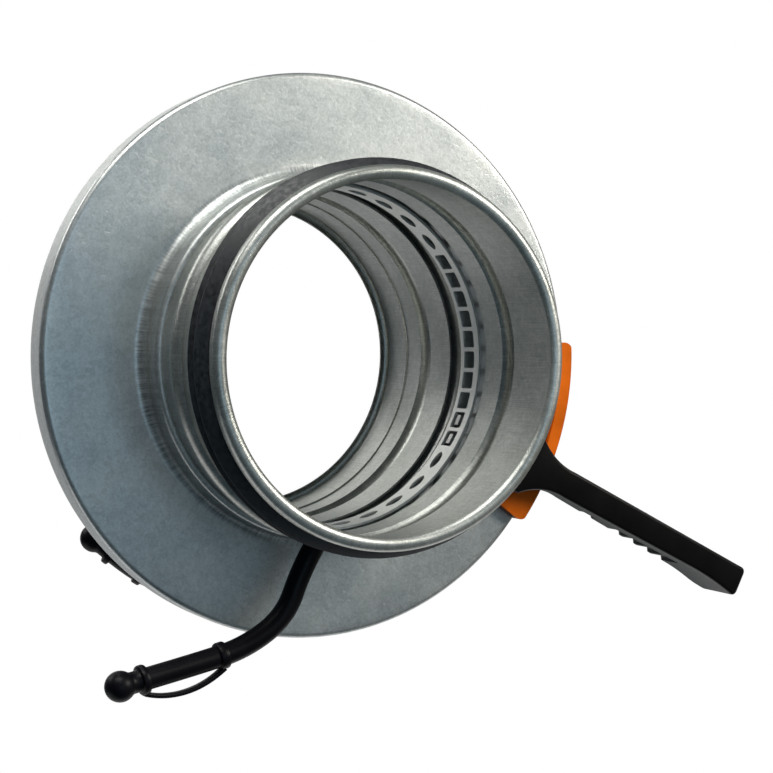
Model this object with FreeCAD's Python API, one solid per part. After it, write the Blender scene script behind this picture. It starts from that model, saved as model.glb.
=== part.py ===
"""Iris damper for a round duct, opened and closed by a lever that turns an inner control ring.

The duct axis is Y, the front mouth faces -Y and Z is up. All sizes are millimetres.
Angles run in the front view, from +X towards +Z, about the duct axis.
"""
import FreeCAD, Part
import os
from math import atan2, cos, degrees, hypot, pi, radians, sin, sqrt, tan

V = FreeCAD.Vector
ORIGIN = V(0, 0, 0)
DUCT_AXIS = V(0, 1, 0)

# Body
body_length = 110.0
casing_radius = 79.7
casing_front = -3.8
casing_rear = 6.4
disc_sheet = 0.8
rim_round = 1.6
hem_sheet = 0.6
hem_width = 1.9
rim_gap = 0.1

# Spigots, both ends
spigot_radius = 49.3
spigot_sheet = 0.6
front_spigot_gap = 1.9
rear_spigot_gap = 4.3
lip_inset = 3.2
lip_depth = 1.6
land_rise = 0.55
land_length = 2.0
seat_step = 0.4
seat_end = 16.0
stop_bead_gap = 12.3
stop_bead_width = 6.3
stop_bead_height = 2.0

# Drawn necks of the two discs
neck_gap = 1.2
neck_fillet = 5.6
front_neck_length = 9.9
rear_neck_length = 7.3
neck_turn = 1.4

# Gaskets
gasket_base = 0.35
gasket_lip_reach = 2.2
gasket_lip_pitch = 4.6
gasket_lip_inset = 0.8
gasket_lip_thickness = 0.5
gasket_margin = 0.4

# Control ring
ring_sheet = 0.7
ring_step = 0.7
ring_guide_gap = 0.3
ring_flange_rear = 2.4
ring_band_length = 12.2
ring_bend = 1.0
window_count = 10
window_pitch = 7.2
window_middle = 2.9
window_height = 4.9
window_width = 6.2
window_corner = 0.7
window_place = 6.0
oval_count = 27
oval_gap = 9.0
oval_height = 6.0
oval_width = 4.2

# Iris
blade_count = 6
blade_sheet = 0.4
blade_pitch = 0.48
blade_gap = 0.2
blade_open_gap = 0.3
blade_rim_inset = 2.0
blade_heel_angle = -3.0
blade_tip_angle = 85.0
blade_tip_share = 0.445
blade_tip_bulge = 2.5
blade_taper_angle = 50.0
blade_taper_share = 0.69
blade_taper_place = 72.0
blade_ear_radius = 3.4
pivot_inset = 4.7
first_pivot_angle = -49.0
pivot_pin_radius = 1.5
pivot_shoulder_radius = 2.6
pivot_flange_radius = 3.6
pivot_flange_height = 0.8
pivot_rivet_radius = 2.6
pivot_rivet_height = 1.0
drive_pin_radius = 1.5
drive_pin_inset = 7.0
drive_pin_lead = 14.0
drive_pin_stand = 0.5
ring_travel = 24.0
blade_swing = 18.0
running_clearance = 0.06
slot_clearance = 0.1
axial_clearance = 0.2

# Lever
arm_sheet = 1.6
arm_half_width = 6.6
ring_bend_gap = 0.1
tongue_inset = 3.7
tongue_half_width = 4.0
finger_width = 3.0
finger_reach = 7.2
finger_sheet = 1.2
finger_tab = 2.0
arm_rivet_radius = 1.6
arm_rivet_head = 2.8
arm_rivet_height = 0.6
inner_rivet_inset = 8.0
outer_rivet_inset = 4.1
handle_root_length = 18.5
handle_length = 101.5
handle_front_root = -15.5
handle_front_tip = -10.0
handle_root_rear = -7.6
handle_rear_tip = 8.0
handle_step_gap = 1.05
handle_root_half = 9.5
handle_neck_half = 4.2
handle_tip_half = 3.9
handle_butt_half = 5.4
handle_tip_round = 2.0
handle_butt_round = 8.0
handle_butt_length = 20.0
handle_flare_length = 12.0
handle_flare_run = 3.6
groove_count = 5
groove_inset = 17.6
thumb_rest = 13.5
groove_pitch = 7.0
groove_radius = 3.0
groove_depth = 1.75
groove_land = 6.0
foot_inset = 1.5
handle_screw_inset = 13.0
handle_screw_radius = 1.5
handle_screw_head = 3.0
handle_screw_height = 1.6
handle_screw_sink = 0.4
handle_screw_cross = 3.4
pocket_clearance = 0.1

# Scale plate
plate_face_width = 5.0
plate_front = -7.2
plate_wall = 1.5
plate_round = 1.0
plate_corner = 3.0
plate_top_angle = 3.5
plate_low_angle = -37.0
plate_hook = 1.2
plate_hook_reach = 2.2
plate_clearance = 0.15
lever_slot_clearance = 0.4

# Pressure taps
tap_gap = 4.7
tap_angle = -97.0
tap_lean = -24.0
tap_base_radius = 3.2
tap_base_height = 1.4
tap_spout_radius = 1.9
tap_spout_length = 7.4
hose_seat = 1.4
tap_bore_radius = 1.1
tap_inner_height = 1.2
tap_inner_radius = 2.8
hose_radius = 3.0
hose_bore_radius = 2.0
cap_ball_radius = 4.1
cap_flat_radius = 0.8
cap_collar_radius = 4.0
cap_collar_length = 2.0
cap_stem_length = 5.0
cap_neck_radius = 2.9
cap_neck_length = 2.5
strap_width = 2.4
strap_thickness = 1.2
strap_ring_radius = 4.4
strap_ring_length = 3.0
hose_clearance = 0.1

# Places along the duct
half_length = body_length / 2
flange_front = ring_flange_rear - ring_sheet
band_front = ring_flange_rear - ring_band_length
first_blade = ring_flange_rear + blade_gap
last_blade_rear = first_blade + (blade_count - 1) * blade_pitch + blade_sheet
rear_inner_face = casing_rear - disc_sheet
front_inner_face = casing_front + disc_sheet
front_neck_tip = casing_front - front_neck_length
rear_neck_tip = -casing_rear - rear_neck_length

# Radii
spigot_bore = spigot_radius - spigot_sheet
lip_radius = spigot_radius - lip_inset
land_radius = spigot_radius + land_rise
seat_radius = spigot_radius - seat_step
stop_rise = spigot_radius + stop_bead_height
neck_radius = spigot_radius + neck_gap + disc_sheet
pivot_radius = casing_radius - pivot_inset
ring_bore_radius = spigot_bore - ring_step
ring_outer_radius = pivot_radius - pivot_shoulder_radius - ring_guide_gap
blade_inner_radius = spigot_radius + blade_open_gap
blade_outer_radius = pivot_radius - blade_rim_inset
blade_width = blade_outer_radius - blade_inner_radius
drive_pin_place = pivot_radius - drive_pin_inset
plate_rim_radius = casing_radius + plate_clearance
plate_outer_radius = plate_rim_radius + plate_wall

# Places along the lever, from the duct axis
lever_angle = window_middle - 4 * window_pitch
tongue_place = casing_radius - tongue_inset
plate_inner_radius = tongue_place - plate_face_width
handle_start = tongue_place - handle_root_length
handle_end = handle_start + handle_length
handle_step = plate_outer_radius + handle_step_gap
foot_start = handle_start + foot_inset
first_groove = handle_step + groove_inset
handle_screw_seat = handle_front_root + handle_screw_sink + handle_screw_height
handle_screw_place = tongue_place - handle_screw_inset
arm_rivet_places = (ring_bore_radius + inner_rivet_inset, ring_outer_radius - outer_rivet_inset)


def polar(radius, angle, y=0.0):
    """A point at a radius and front-view angle."""
    return V(radius * cos(radians(angle)), y, radius * sin(radians(angle)))


def turned(shape, angle, centre=ORIGIN):
    """A copy of a shape turned in the front view about an axis along the duct."""
    copy = shape.copy()
    copy.rotate(centre, V(0, -1, 0), angle)
    return copy


def line(start, end):
    return Part.LineSegment(start, end).toShape()


def arc(start, middle, end):
    return Part.Arc(start, middle, end).toShape()


def path_edges(start, steps):
    """Edges from a start point; each step is one end point, or a middle and an end point."""
    edges = []
    here = start
    for step in steps:
        if isinstance(step, tuple):
            edges.append(arc(here, step[0], step[1]))
            here = step[1]
        else:
            edges.append(line(here, step))
            here = step
    return edges


def face_of(start, steps):
    """A plane face inside a closed path."""
    return Part.Face(Part.Wire(path_edges(start, steps)))


def revolved(start, steps, angle=360.0):
    """A profile of (y, radius) pairs turned about the duct axis."""
    def place(pair):
        return V(pair[1], pair[0], 0)

    placed = []
    for step in steps:
        if isinstance(step[0], tuple):
            placed.append((place(step[0]), place(step[1])))
        else:
            placed.append(place(step))
    face = face_of(place(start), placed)
    if angle == 360.0:
        return face.revolve(ORIGIN, DUCT_AXIS, angle)
    return face.revolve(ORIGIN, V(0, -1, 0), angle)


def cylinder(radius, height, base, direction=DUCT_AXIS):
    return Part.makeCylinder(radius, height, base, direction)


def to_rear(shape):
    """Mirror a front piece to the rear end."""
    return shape.mirror(ORIGIN, DUCT_AXIS)


def from_mouth(distance):
    """The y of a place at a distance behind the front mouth."""
    return distance - half_length


def save(name, shape):
    if len(shape.Solids) == 1:
        shape = shape.Solids[0]
    shape.exportStep("parts/" + name + ".step")


def spigot(inner_end, neck_tip):
    """Front spigot of rolled sheet: rolled-in lip, gasket seat and raised stop bead."""
    at = from_mouth
    sheet = spigot_sheet
    land_end = at(lip_depth + land_length)
    bead_middle = neck_tip - stop_bead_gap
    bead_start = bead_middle - stop_bead_width / 2
    bead_end = bead_middle + stop_bead_width / 2
    bead_inset = sheet / 2
    lip_middle = (lip_radius + land_radius) / 2
    lip_front = at(lip_depth / 10)
    steps = [
        ((lip_front, lip_middle), (at(lip_depth), land_radius)),
        (land_end, land_radius),
        (land_end + seat_step, seat_radius),
        (at(seat_end), seat_radius),
        (at(seat_end) + seat_step, spigot_radius),
        (bead_start, spigot_radius),
        ((bead_middle, stop_rise), (bead_end, spigot_radius)),
        (inner_end, spigot_radius),
        (inner_end, spigot_bore),
        (bead_end + bead_inset, spigot_bore),
        ((bead_middle, stop_rise - sheet), (bead_start - bead_inset, spigot_bore)),
        (at(seat_end) + seat_step, spigot_bore),
        (at(seat_end), seat_radius - sheet),
        (land_end, seat_radius - sheet),
        (land_end - sheet, land_radius - sheet),
        (at(lip_depth) + sheet / 2, land_radius - sheet),
        ((lip_front + sheet, lip_middle), (at(lip_depth), lip_radius + sheet / 2)),
        (at(lip_depth) - sheet / 2, lip_radius),
    ]
    return revolved((at(lip_depth) - sheet / 2, lip_radius), steps)


def gasket():
    """Rubber sealing ring with two lips that lean back from the mouth."""
    start = from_mouth(lip_depth + land_length) + seat_step + gasket_margin
    end = from_mouth(seat_end) - gasket_margin
    base = seat_radius + gasket_base
    crest = base + gasket_lip_reach
    thick = gasket_lip_thickness
    steps = [(start, base)]
    for index in range(2):
        root = start + gasket_lip_inset + index * gasket_lip_pitch
        tip = root + 1.4 * gasket_lip_reach
        steps += [(root, base), (tip, crest - thick)]
        steps += [(tip + thick, crest - 2 * thick), (root + 3 * thick, base)]
    steps += [(end, base), (end, seat_radius), (start, seat_radius)]
    return revolved((start, seat_radius), steps)


def neck_steps(face, tip):
    """Outer side of a front neck, from its turned-in tip to the disc's face at y = face."""
    diagonal = neck_fillet * (1 - cos(radians(45)))
    turn_diagonal = neck_turn * (1 - cos(radians(45)))
    return [
        (tip, neck_radius - neck_turn),
        ((tip + turn_diagonal, neck_radius - turn_diagonal), (tip + neck_turn, neck_radius)),
        (face - neck_fillet, neck_radius),
        ((face - diagonal, neck_radius + diagonal), (face, neck_radius + neck_fillet)),
    ]


def neck_back_steps(face, tip):
    """Inner side of the same neck, from the disc back to the tip."""
    rear = face + disc_sheet
    inner = neck_radius - disc_sheet
    diagonal = (neck_fillet + disc_sheet) * (1 - cos(radians(45)))
    return [
        (rear, neck_radius + neck_fillet),
        ((rear - diagonal, inner + diagonal), (face - neck_fillet, inner)),
        (tip + neck_turn, inner),
        (tip + disc_sheet, inner - neck_turn + disc_sheet),
        (tip + disc_sheet, spigot_radius),
        (tip, spigot_radius),
    ]


def front_casing():
    """Pressed front pan: drawn neck, flat face, rim and the hem that holds the rear disc."""
    tip = front_neck_tip
    rim_diagonal = rim_round * (1 - cos(radians(45)))
    inner_rim = casing_radius - disc_sheet
    hem_rear = casing_rear + hem_sheet
    hem_diagonal = hem_sheet * (1 - cos(radians(45)))
    inner_diagonal = (rim_round - disc_sheet) * (1 - cos(radians(45)))
    steps = neck_steps(casing_front, tip)
    steps += [
        (casing_front, casing_radius - rim_round),
        ((casing_front + rim_diagonal, casing_radius - rim_diagonal),
         (casing_front + rim_round, casing_radius)),
        (casing_rear, casing_radius),
        ((hem_rear - hem_diagonal, casing_radius - hem_diagonal), (hem_rear, casing_radius - hem_sheet)),
        (hem_rear, casing_radius - hem_width),
        (casing_rear, casing_radius - hem_width),
        (casing_rear, inner_rim),
        (casing_front + rim_round, inner_rim),
        ((front_inner_face + inner_diagonal, inner_rim - inner_diagonal),
         (front_inner_face, casing_radius - rim_round)),
    ]
    steps += neck_back_steps(casing_front, tip)
    return revolved((tip, spigot_radius), steps).cut(lever_slot(casing_front - 1, disc_sheet + 2))


def rear_casing():
    """Rear disc with its drawn neck, and the holes for the pivot rivets."""
    tip = rear_neck_tip
    edge = casing_radius - disc_sheet - rim_gap
    steps = neck_steps(-casing_rear, tip)
    steps += [(-casing_rear, edge), (-rear_inner_face, edge)]
    steps += neck_back_steps(-casing_rear, tip)
    disc = to_rear(revolved((tip, spigot_radius), steps))
    holes = [cylinder(pivot_pin_radius, 2 * disc_sheet, place - V(0, disc_sheet / 2, 0))
             for place in pivot_places(rear_inner_face)]
    return disc.cut(Part.makeCompound(holes))


def lever_slot(start, depth):
    """Arc slot that the lever's tongue travels in."""
    half = degrees(tongue_half_width / tongue_place) + degrees(lever_slot_clearance / tongue_place)
    reach = arm_sheet / 2 + lever_slot_clearance
    corner = hypot(tongue_place + arm_sheet / 2, tongue_half_width) - tongue_place - arm_sheet / 2
    low = tongue_place - reach
    high = tongue_place + reach + corner
    profile = [(start + depth, low), (start + depth, high), (start, high), (start, low)]
    slot = revolved((start, low), profile, ring_travel + 2 * half)
    return turned(slot, lever_angle - half)


def pivot_angles():
    return [first_pivot_angle + index * 360.0 / blade_count for index in range(blade_count)]


def pivot_places(y):
    return [polar(pivot_radius, angle, y) for angle in pivot_angles()]


def pivot_pins():
    """Stepped rivets: shank for the blade, shoulder and flange that guide the control ring."""
    pins = []
    shoulder_rear = ring_flange_rear + axial_clearance / 2
    flange_rear = flange_front - axial_clearance
    for angle in pivot_angles():
        def at(y):
            return polar(pivot_radius, angle, y)

        pin = cylinder(pivot_pin_radius, casing_rear - shoulder_rear, at(shoulder_rear))
        pin = pin.fuse(cylinder(pivot_shoulder_radius, shoulder_rear - flange_rear, at(flange_rear)))
        pin = pin.fuse(cylinder(pivot_flange_radius, pivot_flange_height, at(flange_rear - pivot_flange_height)))
        rivet = Part.makeCone(pivot_rivet_radius, pivot_rivet_radius * 0.6, pivot_rivet_height,
                              at(casing_rear), DUCT_AXIS)
        pins.append(pin.fuse(rivet).removeSplitter())
    return Part.makeCompound(pins)


def blade_level(index):
    """Front face of one blade; each blade has its own level in the stack."""
    return first_blade + index * blade_pitch


def drive_pin_angle(index):
    return pivot_angles()[index] + drive_pin_lead


def blade(index):
    """One crescent blade with its pivot ear, drawn open."""
    y = blade_level(index)
    heel = blade_heel_angle
    tip = blade_tip_angle
    inner = blade_inner_radius
    tip_radius = inner + blade_width * blade_tip_share
    taper_radius = inner + blade_width * blade_taper_share
    start = polar(inner, heel, y)
    steps = [
        (polar(inner, (heel + tip) / 2, y), polar(inner, tip, y)),
        (polar((inner + tip_radius) / 2, tip + blade_tip_bulge, y), polar(tip_radius, tip - 1, y)),
        (polar(taper_radius, blade_taper_place, y), polar(blade_outer_radius, blade_taper_angle, y)),
        (polar(blade_outer_radius, blade_taper_angle / 2, y), polar(blade_outer_radius, heel, y)),
        start,
    ]
    plate = face_of(start, steps).extrude(V(0, blade_sheet, 0))
    pivot = polar(pivot_radius, 0, y)
    plate = plate.fuse(cylinder(blade_ear_radius, blade_sheet, pivot)).removeSplitter()
    plate = plate.cut(cylinder(pivot_pin_radius + running_clearance, blade_sheet, pivot))
    plate = plate.cut(cylinder(drive_pin_radius, blade_sheet, polar(drive_pin_place, drive_pin_lead, y)))
    return turned(plate, pivot_angles()[index])


def drive_pin(index):
    """Pin riveted in a blade; it runs in a cam slot of the control ring."""
    start = flange_front - drive_pin_stand
    end = blade_level(index) + blade_sheet
    return cylinder(drive_pin_radius, end - start, polar(drive_pin_place, drive_pin_angle(index), start))


def cam_point(share, y):
    """Where a drive pin lies in the ring's own frame, its blade's pivot being at angle 0."""
    swing = radians(blade_swing * share)
    dx = drive_pin_place * cos(radians(drive_pin_lead)) - pivot_radius
    dz = drive_pin_place * sin(radians(drive_pin_lead))
    x = pivot_radius + dx * cos(swing) - dz * sin(swing)
    z = dx * sin(swing) + dz * cos(swing)
    return polar(hypot(x, z), degrees(atan2(z, x)) - ring_travel * share, y)


def cam_slot(y, depth):
    """Curved slot of constant width along the path of a drive pin."""
    half = drive_pin_radius + slot_clearance
    start, middle, end = [cam_point(share, y) for share in (-0.02, 0.5, 1.02)]
    centre = arc(start, middle, end).Curve.Center

    def beside(point, offset):
        ray = (point - centre).normalize()
        return point + ray * offset

    def beyond(point, other):
        ray = (point - centre).normalize()
        along = ray.cross(DUCT_AXIS)
        if along.dot(point - other) < 0:
            along = along * -1
        return point + along * half

    steps = [
        (beside(middle, half), beside(end, half)),
        (beyond(end, start), beside(end, -half)),
        (beside(middle, -half), beside(start, -half)),
        (beyond(start, end), beside(start, half)),
    ]
    return face_of(beside(start, half), steps).extrude(V(0, depth, 0))


def radial_cutter(outline, angle):
    """A cutter that goes through the band, from an outline drawn at the +X side."""
    solid = outline.extrude(V(2 * (ring_sheet + 1), 0, 0))
    return turned(solid, angle)


def window_outline():
    """Rounded rectangle in the plane that the cutter starts from."""
    x = ring_bore_radius - 1
    y0 = band_front + window_place - window_width / 2
    y1 = y0 + window_width
    z1 = window_height / 2
    r = window_corner
    d = r * (1 - cos(radians(45)))
    steps = [
        V(x, y1 - r, z1),
        (V(x, y1 - d, z1 - d), V(x, y1, z1 - r)),
        V(x, y1, r - z1),
        (V(x, y1 - d, d - z1), V(x, y1 - r, -z1)),
        V(x, y0 + r, -z1),
        (V(x, y0 + d, d - z1), V(x, y0, r - z1)),
        V(x, y0, z1 - r),
        (V(x, y0 + d, z1 - d), V(x, y0 + r, z1)),
    ]
    return face_of(V(x, y0 + r, z1), steps)


def oval_outline():
    x = ring_bore_radius - 1
    y = band_front + window_place
    tips = [V(x, y, oval_height / 2), V(x, y, -oval_height / 2)]
    sides = [V(x, y + oval_width / 2, 0), V(x, y - oval_width / 2, 0)]
    return face_of(tips[0], [(sides[0], tips[1]), (sides[1], tips[0])])


def band_angles():
    """Angles of the rectangular windows, then of the ovals round the rest of the band."""
    last = (window_count - 1) / 2 * window_pitch
    windows = [window_middle + last - index * window_pitch for index in range(window_count)]
    first_oval = window_middle + last + oval_gap
    step = (360.0 - 2 * (last + oval_gap)) / (oval_count - 1)
    ovals = [first_oval + index * step for index in range(oval_count)]
    return windows, ovals


def control_ring():
    """Ring whose pierced band lines the duct and whose flat flange carries the cam slots."""
    inner = ring_bore_radius
    outer = inner + ring_sheet
    rear = ring_flange_rear
    bend = ring_bend + ring_sheet
    outer_turn = bend * (1 - cos(radians(45)))
    inner_turn = ring_bend * (1 - cos(radians(45)))
    steps = [
        (band_front, outer),
        (flange_front - ring_bend, outer),
        ((flange_front - inner_turn, outer + inner_turn), (flange_front, outer + ring_bend)),
        (flange_front, ring_outer_radius),
        (rear, ring_outer_radius),
        (rear, inner + bend),
        ((rear - outer_turn, inner + outer_turn), (rear - bend, inner)),
        (band_front, inner),
    ]
    ring = revolved((band_front, inner), steps)
    windows, ovals = band_angles()
    cutters = [radial_cutter(window_outline(), angle) for angle in windows]
    cutters += [radial_cutter(oval_outline(), angle) for angle in ovals]
    slot = cam_slot(flange_front - 1, ring_sheet + 2)
    cutters += [turned(slot, angle) for angle in pivot_angles()]
    cutters += [turned(hole, lever_angle) for hole in arm_rivet_holes(flange_front - 1, ring_sheet + 2)]
    return ring.cut(Part.makeCompound(cutters))


def block(s0, s1, y0, y1, half):
    """A box along the lever: s is the distance from the duct axis."""
    return Part.makeBox(s1 - s0, y1 - y0, 2 * half, V(s0, y0, -half))


def arm_rivet_holes(y, depth):
    return [cylinder(arm_rivet_radius, depth, V(place, y, 0)) for place in arm_rivet_places]


def drive_arm():
    """Bent steel arm: two fingers in the band's windows, a tongue and the foot in the handle."""
    front = flange_front - arm_sheet
    arm_start = ring_bore_radius + ring_sheet + ring_bend + ring_bend_gap
    tongue_inner = tongue_place - arm_sheet / 2
    tongue_outer = tongue_place + arm_sheet / 2
    foot_front = handle_root_rear - arm_sheet
    arm = block(arm_start, tongue_inner, front, flange_front, arm_half_width)
    arm = arm.fuse(block(tongue_inner, tongue_outer, foot_front, flange_front, tongue_half_width))
    arm = arm.fuse(block(foot_start, tongue_inner, foot_front, handle_root_rear, tongue_half_width))
    arm = turned(arm, lever_angle)
    band_bore = ring_bore_radius + running_clearance
    window_y = band_front + window_place
    for side in (-0.5, 0.5):
        angle = lever_angle + side * window_pitch
        strip = block(arm_start, arm_start + finger_sheet, flange_front - finger_reach, flange_front,
                      finger_width / 2)
        tab = block(band_bore, arm_start + finger_sheet / 2, window_y - finger_tab / 2, window_y + finger_tab / 2,
                    finger_width / 2)
        arm = arm.fuse(turned(strip.fuse(tab), angle))
    arm = arm.removeSplitter()
    cuts = arm_rivet_holes(front - 1, arm_sheet + 2)
    cuts.append(cylinder(handle_screw_radius, arm_sheet + 2, V(handle_screw_place, foot_front - 1, 0)))
    return arm.cut(turned(Part.makeCompound(cuts), lever_angle))


def arm_rivets():
    """Rivets that fix the arm to the ring's flange."""
    front = flange_front - arm_sheet
    rivets = []
    for place in arm_rivet_places:
        shank = cylinder(arm_rivet_radius, ring_flange_rear - front, V(place, front, 0))
        head = cylinder(arm_rivet_head, arm_rivet_height, V(place, front - arm_rivet_height, 0))
        rivets.append(shank.fuse(head).removeSplitter())
    return turned(Part.makeCompound(rivets), lever_angle)


def handle_plan():
    """Outline of the handle seen from the front, drawn along +X."""
    y = -2 * half_length
    root = handle_root_half
    neck = handle_neck_half
    tip = handle_tip_half
    butt = handle_butt_half
    end = handle_end
    r = handle_tip_round
    d = r * (1 - cos(radians(45)))
    flare_start = handle_step - handle_flare_length
    flare_end = handle_step + handle_flare_run
    flare_middle = flare_start + 0.37 * (flare_end - flare_start)
    flare_half = neck + 0.31 * (root - neck)
    butt_start = end - handle_butt_length
    butt_middle = end - handle_butt_length / 2
    butt_share = tip + 0.3 * (butt - tip)

    def at(s, w):
        return V(s, y, w)

    steps = [
        at(flare_start, root),
        (at(flare_middle, flare_half), at(flare_end, neck)),
        at(end - r, tip),
        (at(end - d, tip - d), at(end, tip - r)),
        at(end, r - butt),
        (at(end - d, d - butt), at(end - r, -butt)),
        (at(butt_middle, -butt_share), at(butt_start, -tip)),
        at(flare_end, -neck),
        (at(flare_middle, -flare_half), at(flare_start, -root)),
        at(handle_start, -root),
        at(handle_start, root),
    ]
    return face_of(at(handle_start, root), steps).extrude(V(0, 4 * half_length, 0))


def front_line(s):
    """Front face of the handle, which leans back towards the tip."""
    start = handle_start + handle_tip_round / 2
    share = (s - start) / (handle_end - handle_tip_round - start)
    return handle_front_root + (handle_front_tip - handle_front_root) * share


def handle_side():
    """Outline of the handle seen along the duct's tangent: y against distance from the axis."""
    z = -4 * handle_root_half
    end = handle_end
    r = handle_tip_round
    d = r * (1 - cos(radians(45)))
    butt = handle_butt_round

    def at(s, y):
        return V(s, y, z)

    steps = [
        at(end - r, handle_front_tip),
        (at(end - d, handle_front_tip + d), at(end, handle_front_tip + r)),
        at(end, handle_rear_tip - 0.75 * butt),
        (at(end - 0.25 * butt, handle_rear_tip - 0.2 * butt), at(end - butt, handle_rear_tip)),
        at(handle_step, handle_root_rear),
        at(handle_start, handle_root_rear),
        at(handle_start, handle_front_root + r / 2),
        at(handle_start + r / 2, handle_front_root),
    ]
    return face_of(at(handle_start + r / 2, handle_front_root), steps).extrude(V(0, 0, 8 * handle_root_half))


def finger_grooves():
    """Round cutters for the grip's underside, behind a straight land along its front edge."""
    places = [first_groove]
    places += [first_groove + thumb_rest + index * groove_pitch for index in range(groove_count - 1)]
    side = -(handle_tip_half + groove_radius - groove_depth)
    depth = 4 * handle_root_half
    return [cylinder(groove_radius, depth, V(s, front_line(s) + groove_land, side)) for s in places]


def handle():
    """Moulded lever handle with a pocket for the arm's foot, a sunk screw hole and finger grooves."""
    grip = handle_plan().common(handle_side())
    outer = tongue_place + arm_sheet / 2 + pocket_clearance
    half = tongue_half_width + pocket_clearance
    deep = handle_root_rear - arm_sheet - pocket_clearance
    grip = grip.cut(block(foot_start - pocket_clearance, outer, deep, handle_root_rear + 1, half))
    root_depth = handle_root_rear - handle_front_root
    hole = cylinder(handle_screw_radius, root_depth, V(handle_screw_place, handle_front_root, 0))
    sink = cylinder(handle_screw_head + pocket_clearance, root_depth, V(handle_screw_place, 0, 0))
    sink.translate(V(0, handle_screw_seat - root_depth, 0))
    grip = grip.cut(hole).cut(sink).cut(Part.makeCompound(finger_grooves()))
    return turned(grip, lever_angle)


def handle_screw():
    """Pan-head screw from the front of the handle into the arm's foot."""
    seat = handle_screw_seat
    shank = cylinder(handle_screw_radius, handle_root_rear - seat, V(handle_screw_place, seat, 0))
    top = seat - handle_screw_height
    head = cylinder(handle_screw_head, handle_screw_height, V(handle_screw_place, top, 0))
    long = handle_screw_cross / 2
    thin = handle_screw_cross / 10
    cross = [
        Part.makeBox(2 * long, handle_screw_height / 2, 2 * thin, V(handle_screw_place - long, top, -thin)),
        Part.makeBox(2 * thin, handle_screw_height / 2, 2 * long, V(handle_screw_place - thin, top, -long)),
    ]
    screw = shank.fuse(head).cut(Part.makeCompound(cross))
    return turned(screw.removeSplitter(), lever_angle)


def corner_cutter(sign):
    """Cuts one outer front corner of the scale plate round; sign is +1 at its top end."""
    edge = plate_outer_radius
    r = plate_corner
    d = r * (1 - cos(radians(45)))
    depth = 4 * half_length
    outline = [
        V(edge + r, -depth / 2, 0), V(edge + r, -depth / 2, -sign * r), V(edge, -depth / 2, -sign * r),
        (V(edge - d, -depth / 2, -sign * d), V(edge - r, -depth / 2, 0)),
    ]
    return face_of(V(edge - r, -depth / 2, 0), outline).extrude(V(0, depth, 0))


def scale_plate():
    """Moulded channel that snaps over the casing's rim, with the lever's arc slot."""
    low = plate_inner_radius
    high = plate_outer_radius
    wall = plate_wall
    rim = plate_rim_radius
    back = casing_rear + hem_sheet + plate_clearance
    r = plate_round
    d = r * (1 - cos(radians(45)))
    steps = [
        (plate_front, high - r),
        ((plate_front + d, high - d), (plate_front + r, high)),
        (back + plate_hook, high),
        (back + plate_hook, rim - plate_hook_reach),
        (back, rim - plate_hook_reach),
        (back, rim),
        (plate_front + wall, rim),
        (plate_front + wall, low + wall),
        (casing_front, low + wall),
        (casing_front, low),
        (plate_front, low),
    ]
    plate = revolved((plate_front, low), steps, plate_top_angle - plate_low_angle)
    plate = turned(plate, plate_low_angle)
    for angle, sign in ((plate_top_angle, 1), (plate_low_angle, -1)):
        plate = plate.cut(turned(corner_cutter(sign), angle))
    return plate.cut(lever_slot(plate_front - 1, wall + 2))


def along_tap(radius, neck_tip):
    """A point on a front tap's axis, at a distance from the duct axis."""
    return polar(radius, tap_angle, neck_tip - tap_gap)


def spout_direction():
    return polar(1, tap_angle + tap_lean)


def tap(neck_tip):
    """Pressure tap: collar on the wall, leaning spout for the hose and a small head inside the duct."""
    out = polar(1, tap_angle)
    lean = spout_direction()
    long = 4 * tap_base_radius
    start = neck_tip - tap_gap - long / 2
    buried = tap_base_height / 2
    inner = along_tap(spigot_bore - tap_inner_height, neck_tip)
    top = along_tap(spigot_radius + tap_base_height, neck_tip)
    base = cylinder(tap_base_radius, tap_base_height + spigot_sheet, along_tap(spigot_bore, neck_tip), out)
    base = base.cut(cylinder(spigot_radius, long, V(0, start, 0)))
    head = cylinder(tap_inner_radius, tap_inner_height + spigot_sheet, inner, out)
    head = head.common(cylinder(spigot_bore, long, V(0, start, 0)))
    shank = cylinder(tap_spout_radius, tap_inner_height + spigot_sheet + buried, inner, out)
    spout = cylinder(tap_spout_radius, tap_spout_length + buried, top - lean * buried, lean)
    body = base.fuse(head).fuse(shank).fuse(spout).removeSplitter()
    body = body.cut(cylinder(tap_bore_radius, tap_spout_length + long, top, lean))
    return body.cut(cylinder(tap_bore_radius, long, top - out * long, out))


def tap_hole(neck_tip):
    out = polar(1, tap_angle)
    return cylinder(tap_spout_radius, 4 * spigot_sheet, along_tap(spigot_bore - spigot_sheet, neck_tip), out)


def hose_path(points):
    """Straight runs joined by tangent arcs that are as large as the runs allow."""
    edges = []
    radii = []
    here = points[0]
    for before, corner, after in zip(points, points[1:], points[2:]):
        first = corner - before
        second = after - corner
        turn = first.getAngle(second)
        back = 0.45 * min(first.Length, second.Length)
        radii.append(back / tan(turn / 2))
        start = corner - first.normalize() * back
        end = corner + second.normalize() * back
        half_way = (start + end) * 0.5
        ray = (corner - half_way).normalize()
        bend = radii[-1]
        centre = corner - ray * (bend / cos(turn / 2))
        middle = centre + ray * bend
        edges.append(line(here, start))
        edges.append(arc(start, middle, end))
        here = end
    edges.append(line(here, points[-1]))
    return Part.Wire(edges), radii


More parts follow.
